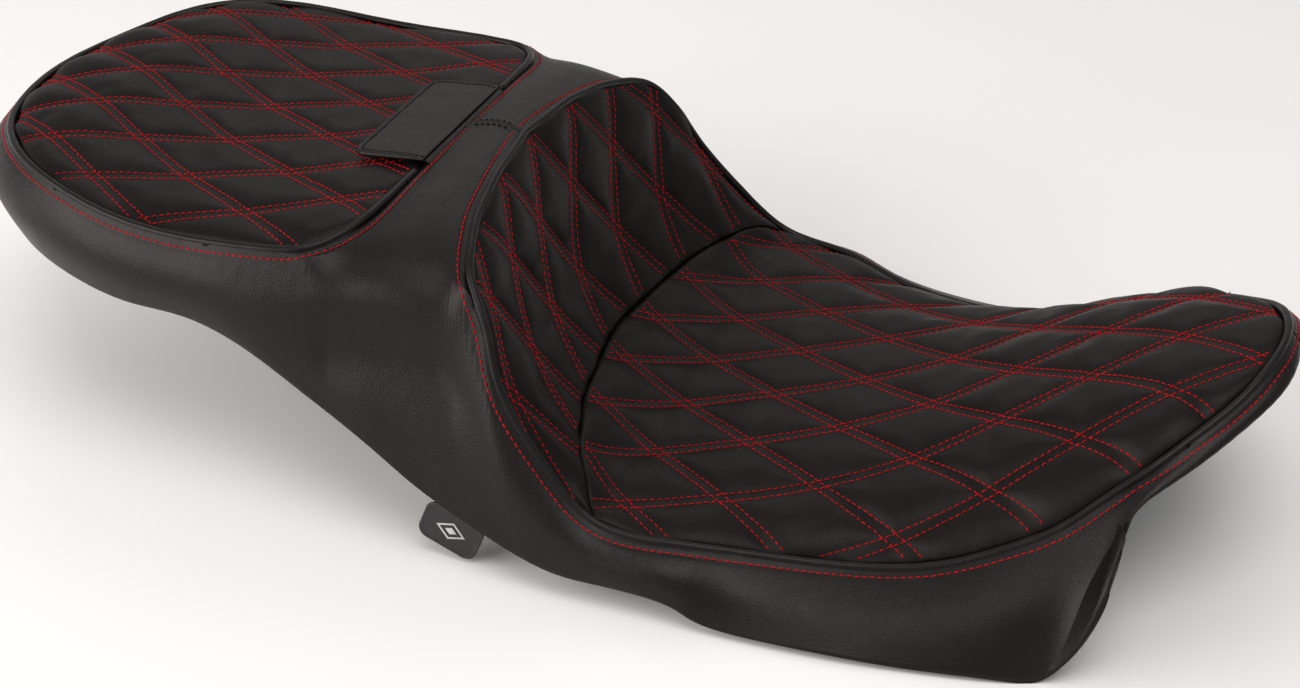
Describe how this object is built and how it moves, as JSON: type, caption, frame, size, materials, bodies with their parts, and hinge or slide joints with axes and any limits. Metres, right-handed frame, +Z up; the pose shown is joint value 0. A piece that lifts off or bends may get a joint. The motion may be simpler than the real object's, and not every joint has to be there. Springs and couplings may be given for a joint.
{
  "type": "motorcycle seat",
  "caption": "Long stepped motorcycle seat for rider and passenger: quilted pads with piping, smooth side covers, a moulded pan, and a hinged flap over a socket for a backrest.",
  "frame": {"origin": "on the floor under the middle of the seat's bounding box", "axes": "+X forward along the seat, +Y to the rider's left, +Z up"},
  "size_m": [0.7784, 0.3764, 0.182],
  "materials": {
    "quilted_vinyl": "satin black grained vinyl, diamond quilted with paired red stitching",
    "skirt_vinyl": "satin black grained vinyl",
    "welt_vinyl": "black vinyl piping",
    "foam": "open cell moulded foam",
    "pan_plastic": "moulded black plastic",
    "plated_steel": "zinc plated",
    "bumper_rubber": "moulded black rubber",
    "tag_rubber": "soft moulded black label, blank"
  },
  "bodies": {
    "seat": {"base_pan": "pan_plastic", "driver_foam": "foam", "passenger_foam": "foam", "driver_seat_panel": "quilted_vinyl", "driver_back_panel": "quilted_vinyl", "passenger_panel": "quilted_vinyl", "left_skirt": "skirt_vinyl", "right_skirt": "skirt_vinyl", "driver_welt": "welt_vinyl", "passenger_welt": "welt_vinyl", "backrest_socket": "plated_steel", "socket_bolt_1": "plated_steel", "socket_bolt_2": "plated_steel", "socket_bolt_3": "plated_steel", "socket_bolt_4": "plated_steel", "front_tongue": "plated_steel", "tongue_rivet_1": "plated_steel", "tongue_rivet_2": "plated_steel", "rear_tab": "plated_steel", "tab_bolt_1": "plated_steel", "tab_bolt_2": "plated_steel", "bumper_1": "bumper_rubber", "bumper_2": "bumper_rubber", "bumper_3": "bumper_rubber", "bumper_4": "bumper_rubber", "bumper_5": "bumper_rubber", "bumper_6": "bumper_rubber", "bumper_7": "bumper_rubber", "bumper_8": "bumper_rubber", "side_tag": "tag_rubber"},
    "flap": {"backrest_flap": "skirt_vinyl"}
  },
  "joints": [
    {"name": "flap_hinge", "type": "hinge", "parent": "seat", "child": "flap", "pos_m": [-0.0932, 0, 0.1756], "axis": [0, 1, 0], "range_deg": [0, 140]}
  ]
}
